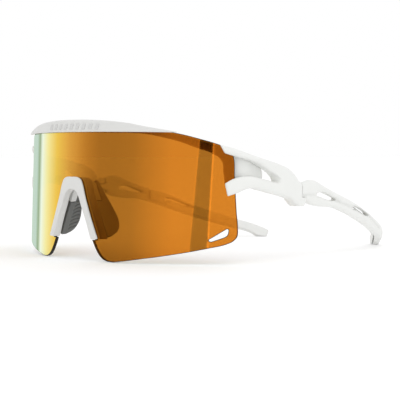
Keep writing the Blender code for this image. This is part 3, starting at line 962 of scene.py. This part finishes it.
def nose_cushion(side_name, side):
    """A ribbed rubber cushion whose side away from the nose is painted a paler grey, as painted light for
    the light it gets through the lens.
    """
    loop = corner((0.0, 6.1), (3.3, 6.1), (3.3, -4.0)) + smooth((4.4, -3.7), (5.4, 0.0), (8.3, 11.0))
    loop += smooth((8.9, 15.0), (8.4, 18.4), (6.6, 21.0), (3.6, 22.5)) + corner((0.0, 22.8))
    half = CUSHION_THICKNESS / 2
    body = sheet([loop], -half, half)
    lines = edge_lines(body)
    depths = []

    def shape(points):
        depths.append(points[:, 2].copy())
        return ribbed(points, lines)

    cushion = piece(
        "nose_cushion_" + side_name, [body], "nose_pad_" + side_name, "front", PAD_RUBBER,
        side, size=FINE_SKIN, rounds=3, shape=shape, place=place_cushion,
    )
    # Painted light: faces on the side away from the nose get the paler grey.
    cushion.data.materials.append(PAD_PAINTED_LIGHT)
    for face in cushion.data.polygons:
        if max(depths[0][i] for i in face.vertices) < PAINTED_LIGHT_DEPTH:
            face.material_index = 1
    return cushion


def pad_clip(side_name, side):
    half = CUSHION_THICKNESS / 2
    tab = sheet([corner((0.0, -3.0), (3.0, -3.0), (3.0, 5.8), (0.0, 5.8))], -half, half)
    # The pad clip is made in the darker copy of the white, which is painted shade.
    return piece(
        "pad_clip_" + side_name, [tab], "nose_pad_carrier_" + side_name, "front",
        SHADED_WHITE_PLASTIC, side, size=FINE_SKIN, rounds=3, place=place_cushion,
    )


# ---------------------------------------------------------------- end forks


def fork_loop():
    upper = corner((72.1, 51.9)) + smooth((77.4, 50.7), (87.0, 47.7), (95.3, 46.2), (104.0, 44.6))
    upper += smooth((111.0, 42.6), (115.2, 40.2), (118.3, 37.7)) + corner((SPLIT_S - GAP / 2, 36.7))
    lower = corner((SPLIT_S - GAP / 2, LOWER_LUG[0]), (118.2, LOWER_LUG[0]), (113.2, 29.3))
    lower += smooth((108.0, 30.4), (98.4, 31.9))
    lower += smooth((90.6, 33.1), (84.9, 33.7), (79.6, 31.5)) + corner((75.9, 30.1), (74.6, 35.5))
    slot = smooth((78.6, 37.8), (83.7, 38.9), (90.0, 38.3)) + corner((102.6, 36.5))
    slot += smooth((100.2, 39.3), (95.6, 41.8), (87.1, 44.9), (80.4, 46.6)) + corner((74.2, 48.3))
    return upper + lower + slot


def lower_lug():
    """The lug under the temple's knuckle, as wide as the temple, with its inner rear corner left off."""
    low, high = LOWER_LUG
    end = HINGE_S + LUG_REAR
    slant = [(LUG_START - 2.0, high + 0.4), (LUG_START - 1.2, high - 1.3), (LUG_START + 2.6, low)]
    front = corner(*slant, (HINGE_S, low), (HINGE_S, high))
    rear = corner(*slant, (end - 1.6, low), (end, low + 1.8), (end, high))
    barrel = rod((HINGE_S, low, HINGE_W), KNUCKLE_RADIUS, high - low)
    inner = HINGE_W - KNUCKLE_RADIUS
    return [sheet([front], inner, COVER_OUTER), sheet([rear], HINGE_W, COVER_OUTER), barrel]


def upper_lug():
    w_range = (HINGE_W - KNUCKLE_RADIUS, HINGE_W + KNUCKLE_RADIUS)
    low, high = UPPER_LUG
    barrel = rod((HINGE_S, low, HINGE_W), KNUCKLE_RADIUS, high - low)
    return [block((LUG_START, HINGE_S), w_range, UPPER_LUG), barrel]


# The slot between the prongs ends further back on the outer face than on the inner one.
CROTCH_AT = (101.5, 38.8)
CROTCH_REACH = (4.5, 2.6)
CROTCH_SHIFT = (3.4, -0.5)


def end_fork(side_name, side):
    """The forked end piece: two prongs over the lens's edge, running back to the hinge's two lugs."""
    pocket = HINGE_S - KNUCKLE_RADIUS - GAP
    outer = sheet([fork_loop()], SKIN_INNER, COVER_OUTER)
    lines = edge_lines(outer)
    lines = lines[~((lines[:, :, 0] > SPLIT_S - 0.6).all(1))]
    middle = sliced(sheet([fork_loop()], GAP, SKIN_INNER + 0.1), COVER_START_S, pocket)
    inner = sliced(sheet([fork_loop()], COVER_INNER, GAP + 0.1), LENS_CLEAR_S, pocket)

    def shape(points):
        s, h, w = points.T
        depth = np.clip((w - COVER_INNER) / (COVER_OUTER - COVER_INNER), 0, 1)
        away = ((s - CROTCH_AT[0]) / CROTCH_REACH[0]) ** 2 + ((h - CROTCH_AT[1]) / CROTCH_REACH[1]) ** 2
        near = np.exp(-away)
        points[:, 0] += CROTCH_SHIFT[0] * depth * near
        points[:, 1] += CROTCH_SHIFT[1] * depth * near
        return pillowed(points, lines, COVER_INNER, reach=1.9, amount=0.30)

    return piece(
        "end_fork_" + side_name, [outer, middle, inner, *lower_lug(), *upper_lug()],
        "end_cover_" + side_name, "front", WHITE_PLASTIC, side, shape=shape,
    )


# ---------------------------------------------------------------- temples


def arm_top():
    edge = smooth((122.4, 36.7), (125.0, 37.3), (128.8, 38.1), (132.4, 37.4))
    edge += smooth((136.0, 36.1), (149.0, 32.1), (160.9, 28.9), (179.2, 22.9), (206.9, 15.3))
    return edge + smooth((214.0, 13.6), (220.5, 11.7), (225.0, 10.0)) + corner((227.0, 9.0))


def arm_bottom():
    edge = corner((225.2, 4.9)) + smooth((221.2, 5.3), (215.6, 7.9), (209.5, 9.6), (201.0, 11.5))
    edge += smooth((188.7, 14.5), (169.5, 19.8), (157.2, 23.3), (146.2, 25.7), (134.5, 26.3))
    return edge + smooth((127.6, 27.5))


def arm_loop():
    start = SPLIT_S + GAP / 2
    behind_lug = HINGE_S + LUG_REAR + 2 * GAP
    notch = corner((behind_lug, 28.9), (behind_lug, KNUCKLE[0]), (start, KNUCKLE[0]))
    return corner((start, 36.6)) + arm_top() + arm_bottom() + notch


def arm_openings():
    front = smooth((132.2, 31.4), (134.4, 32.4), (138.0, 32.4), (143.0, 31.0)) + corner((150.4, 28.5))
    front += smooth((143.0, 28.9), (136.0, 30.3))
    rear = smooth((162.6, 25.5), (166.6, 25.7), (174.0, 23.7)) + corner((182.5, 20.7))
    return [front, rear + smooth((174.0, 22.0), (167.0, 24.0))]


# Soft grooves pressed into the outer face, in front of and behind the openings.
VALLEYS = (
    groove_line((146.7, 29.6), (150.5, 27.9), (155.9, 27.0), (162.2, 25.6)),
    groove_line((181.5, 20.8), (188.6, 17.8), (196.0, 15.2)),
    groove_line((119.5, 30.9), (125.0, 31.4), (131.0, 31.2)),
)
# The middle of each opening, and how much higher the opening lies on the inner face.
OPENING_RISES = (
    (groove_line((135.0, 31.4), (147.5, 29.2)), 0.9),
    (groove_line((165.0, 25.1), (180.0, 21.6)), 1.5),
)
OPENING_REACH = 1.7
TIP_START = 206.0
TIP_END = 227.0
TIP_TAPER = 0.5
SLEEVE_TAPER = 0.7


def along_tip(points):
    """0 in front of the temple's tip, rising to 1 at its end."""
    return np.clip((points[:, 0] - TIP_START) / (TIP_END - TIP_START), 0, 1)


def temple(side_name, side):
    """A skeleton arm: full round sections, two openings, a thinner tip and the hinge's knuckle."""
    outline = [arm_loop(), *arm_openings()]
    skin = sheet(outline, SKIN_INNER, ARM_OUTER)
    lines = edge_lines(skin)
    lines = lines[~((lines[:, :, 0] < SPLIT_S + 0.6).all(1))]
    body_start = HINGE_S + KNUCKLE_RADIUS + 2 * GAP
    body = sliced(sheet(outline, ARM_INNER, SKIN_INNER + 0.1), body_start, LINE_END)
    low, high = KNUCKLE
    w_range = (HINGE_W - KNUCKLE_RADIUS, HINGE_W + KNUCKLE_RADIUS)
    web = block((HINGE_S, body_start + 2.0), w_range, KNUCKLE)
    barrel = rod((HINGE_S, low, HINGE_W), KNUCKLE_RADIUS, high - low)

    def shape(points):
        points = pillowed(points, lines, ARM_MIDDLE, reach=2.3, amount=0.36)
        for line in VALLEYS:
            points = grooved(points, line, width=0.65, depth=0.75, face_w=ARM_OUTER)
        inside = np.clip((ARM_OUTER - points[:, 2]) / (ARM_OUTER - ARM_INNER), 0, 1)
        for line, rise in OPENING_RISES:
            near = np.exp(-((distance_to(points[:, :2], line) / OPENING_REACH) ** 2))
            points[:, 1] += rise * inside * near
        thin = 1 - TIP_TAPER * along_tip(points) ** 1.5
        points[:, 2] = ARM_INNER + (points[:, 2] - ARM_INNER) * thin
        return points

    return piece(
        "temple_" + side_name, [skin, body, web, barrel], "temple_arm_" + side_name, side_name + "_arm",
        WHITE_PLASTIC, side, shape=shape,
    )


def temple_sleeve(side_name, side):
    """The soft strip on the inner face of the rear half, with the rear opening carried on through it."""
    top = [(s, h + 0.5, kind) for s, h, kind in arm_top() if s > 175]
    loop = corner((152.0, 30.9)) + smooth((160.9, 29.4)) + top
    loop += [(s, h + 1.2, kind) for s, h, kind in arm_bottom() if s > 175]
    loop += smooth((169.5, 20.8), (160.0, 23.8)) + corner((152.0, 26.0))
    opening = smooth((161.8, 26.0), (166.6, 26.7), (174.0, 24.4)) + corner((184.0, 20.6))
    opening += smooth((174.0, 22.3), (167.0, 24.2))
    outer = ARM_INNER - GAP

    def shape(points):
        points[:, 2] = outer + (points[:, 2] - outer) * (1 - SLEEVE_TAPER * along_tip(points))
        return points

    strip = sheet([loop, opening], outer - GRIP_THICKNESS, outer)
    return piece(
        "temple_sleeve_" + side_name, [strip], "temple_grip_" + side_name, side_name + "_arm",
        GRIP_RUBBER, side, rounds=3, shape=shape,
    )


# ---------------------------------------------------------------- make everything


def steel_finish(part):
    """Gives one of the CAD's screws or sleeves its metal and softened edges."""
    part.data.materials.clear()
    part.data.materials.append(STEEL)
    bevel = part.modifiers.new("soft_edges", "BEVEL")
    bevel.width = 0.00008
    bevel.segments = 2
    bevel.limit_method = "ANGLE"


lens_shield()
top_rail()
brow_cover()
brow_marks()
nose_arch()
for name, hand in SIDES:
    nose_cushion(name, hand)
    pad_clip(name, hand)
    end_fork(name, hand)
    temple(name, hand)
    temple_sleeve(name, hand)
    for node in ("hinge_screw_", "hinge_sleeve_", "cover_screw_"):
        steel_finish(frame["nodes"][node + name])

# ---------------------------------------------------------------- floor, light and camera

QUAD = [(0, 1, 2, 3)]
FLOOR_REACH = 6.0
FLOOR_DROP = 0.0001
FLOOR_GLOW = 0.085  # brings the far floor up to the white of the world behind it


def floor():
    data = bpy.data.meshes.new("floor")
    corners = [(FLOOR_REACH * x, FLOOR_REACH * y, 0) for x, y in ((-1, -1), (1, -1), (1, 1), (-1, 1))]
    data.from_pydata(corners, [], QUAD)
    obj = new_object("floor", data)
    material, _, shader = new_material("floor_white")
    shader.inputs["Base Color"].default_value = (0.93, 0.93, 0.93, 1)
    shader.inputs["Roughness"].default_value = 0.9
    shader.inputs["Specular IOR Level"].default_value = 0.2
    shader.inputs["Emission Color"].default_value = (1, 1, 1, 1)
    shader.inputs["Emission Strength"].default_value = FLOOR_GLOW
    data.materials.append(material)
    obj.location.z = -FLOOR_DROP
    obj.visible_glossy = False


def area_light(name, place, target, size, power):
    data = bpy.data.lights.new(name, "AREA")
    data.shape = "DISK"
    data.size = size
    data.energy = power
    light = bpy.data.objects.new(name, data)
    bpy.context.scene.collection.objects.link(light)
    light.location = place
    light.rotation_euler = (Vector(target) - Vector(place)).to_track_quat("-Z", "Y").to_euler()
    light.visible_glossy = False
    return light


CAMERA_PLACE = Vector((0.42463, -0.41777, 0.04878))
CAMERA_AIM = Vector((0.0, -0.00628, 0.0242))
CARD_DISTANCE = 0.34
CARD_MARGIN = 0.3  # how much further each card runs up and down, as a share of its height


def seen_in_lens(s, h):
    """Where a card stands that the camera sees mirrored in the lens at s and h."""
    place = Vector(bent(np.array([[s, h, 0.0]]))[0])
    angle = s / LENS_RADIUS
    upright = np.array([[math.sin(angle), -math.cos(angle), 0.0]])
    normal = Vector(leant(upright)[0])
    view = (place - CAMERA_PLACE).normalized()
    return place + (view - 2 * view.dot(normal) * normal) * CARD_DISTANCE


def studio_card(name, top, bottom, stops):
    """A card that only gloss sees. It shows in the lens between these pairs of s, at its top and bottom."""
    low = [seen_in_lens(s, 1.0) for s in bottom]
    high = [seen_in_lens(s, LENS_HEIGHT) for s in top]
    spare = [(b - a) * CARD_MARGIN for a, b in zip(low, high)]
    corners = [low[0] - spare[0], low[1] - spare[1], high[1] + spare[1], high[0] + spare[0]]
    data = bpy.data.meshes.new(name)
    data.from_pydata(corners, [], QUAD)
    layer = data.uv_layers.new(name="card")
    for loop, uv in zip(layer.data, ((0, 0), (1, 0), (1, 1), (0, 1))):
        loop.uv = uv
    obj = new_object(name, data)
    material, graph, shader = new_material(name)
    graph.tree.nodes.remove(shader)
    split = graph.add("ShaderNodeSeparateXYZ")
    graph.link(graph.add("ShaderNodeUVMap").outputs[0], split.inputs[0])
    glow = graph.add("ShaderNodeEmission")
    graph.link(graph.ramp(split.outputs[0], greys(stops)), glow.inputs[0])
    graph.link(glow.outputs[0], graph.tree.nodes["Material Output"].inputs[0])
    data.materials.append(material)
    obj.visible_camera = False
    obj.visible_diffuse = False
    obj.visible_shadow = False
    obj.visible_transmission = False


def studio():
    world = bpy.data.worlds.new("studio")
    world.use_nodes = True
    world.node_tree.nodes["Background"].inputs[0].default_value = (1, 1, 1, 1)
    world.node_tree.nodes["Background"].inputs[1].default_value = 1.0
    bpy.context.scene.world = world
    area_light("key_softbox", place=(0.9, -0.5, 1.3), target=(0, 0, 0.02), size=1.2, power=3.0)
    narrow = (
        (0.0, 1.0), (0.02, 1.7), (0.055, 1.7), (0.08, 0.02),
        (0.91, 0.02), (0.935, 2.2), (0.98, 2.2), (1.0, 1.0),
    )
    studio_card("narrow_flag", (63.6, 70.2), (59.6, 68.2), narrow)
    soft = ((0.0, 1.0), (0.16, 0.82), (0.40, 0.14), (0.52, 0.06), (0.66, 0.14), (0.83, 0.62), (1.0, 1.0))
    studio_card("soft_flag", (-6.0, 52.0), (-6.0, 52.0), soft)


def camera():
    data = bpy.data.cameras.new("camera")
    data.lens = 108.2
    data.sensor_width = 36.0
    data.clip_start = 0.01
    obj = bpy.data.objects.new("camera", data)
    bpy.context.scene.collection.objects.link(obj)
    obj.location = CAMERA_PLACE
    obj.rotation_euler = (CAMERA_AIM - CAMERA_PLACE).to_track_quat("-Z", "Y").to_euler()
    bpy.context.scene.camera = obj


floor()
studio()
camera()
bpy.context.scene.view_settings.view_transform = "Standard"
